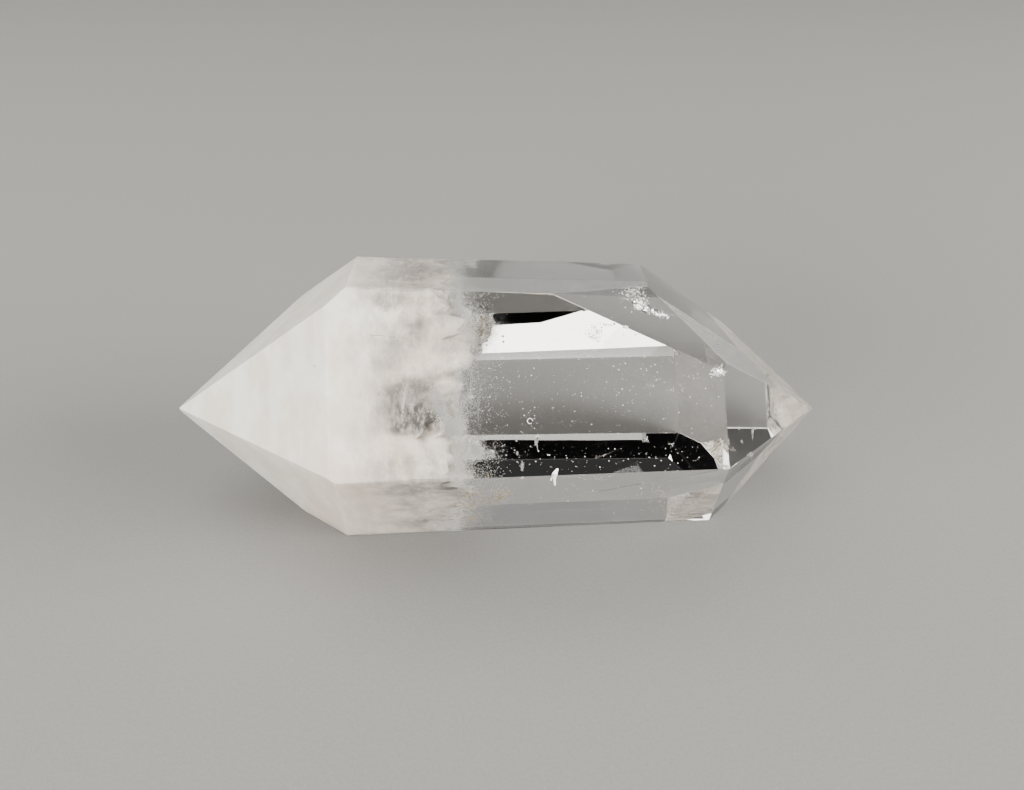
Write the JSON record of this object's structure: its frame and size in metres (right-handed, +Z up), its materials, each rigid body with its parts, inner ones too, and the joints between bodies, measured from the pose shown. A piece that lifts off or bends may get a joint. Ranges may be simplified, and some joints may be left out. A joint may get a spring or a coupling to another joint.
{
  "type": "double terminated quartz crystal",
  "caption": "Polished clear quartz crystal with a faceted point at each end, milky over one half, lying on a long facet.",
  "frame": {"origin": "middle of the bottom of the crystal's bounding box, on the surface that it lies on", "axes": "+X along the crystal towards its clear point, -Y to the front as pictured, +Z up"},
  "size_m": [0.0888, 0.0452, 0.0393],
  "materials": {
    "clear_quartz": "polished, see-through, milky white inside towards the left point",
    "milky_quartz": "milky white veils and inclusions"
  },
  "bodies": {
    "root": {"quartz_crystal": "clear_quartz"}
  },
  "joints": []
}
